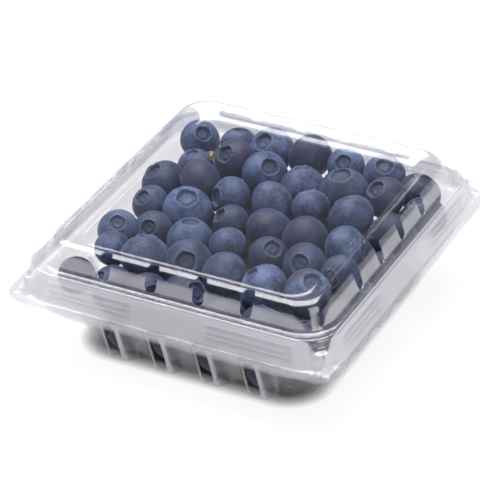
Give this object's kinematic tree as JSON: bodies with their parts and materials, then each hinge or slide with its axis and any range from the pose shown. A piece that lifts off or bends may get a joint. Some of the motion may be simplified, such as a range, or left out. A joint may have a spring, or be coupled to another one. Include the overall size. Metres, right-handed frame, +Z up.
{
  "type": "punnet of blueberries",
  "caption": "Square clear film clamshell with a hinged, slotted lid on a ribbed, vented tray, filled with loose round blue berries.",
  "frame": {"origin": "under the middle of the pack, on the surface it stands on", "axes": "+X to the right along the front wall, +Y from the front wall to the hinge at the back, +Z up"},
  "size_m": [0.116, 0.1234, 0.0426],
  "materials": {
    "clear_film": "clear thermoformed film, glossy",
    "berry_skin": "dark blue skin under a pale waxy bloom"
  },
  "bodies": {
    "tray": {"tray": "clear_film", "berries": "berry_skin"},
    "lid": {"lid": "clear_film"}
  },
  "joints": [
    {"name": "lid_hinge", "type": "hinge", "parent": "tray", "child": "lid", "pos_m": [0, 0.062, 0.0242], "axis": [-1, 0, 0], "range_deg": [0, 180]}
  ]
}
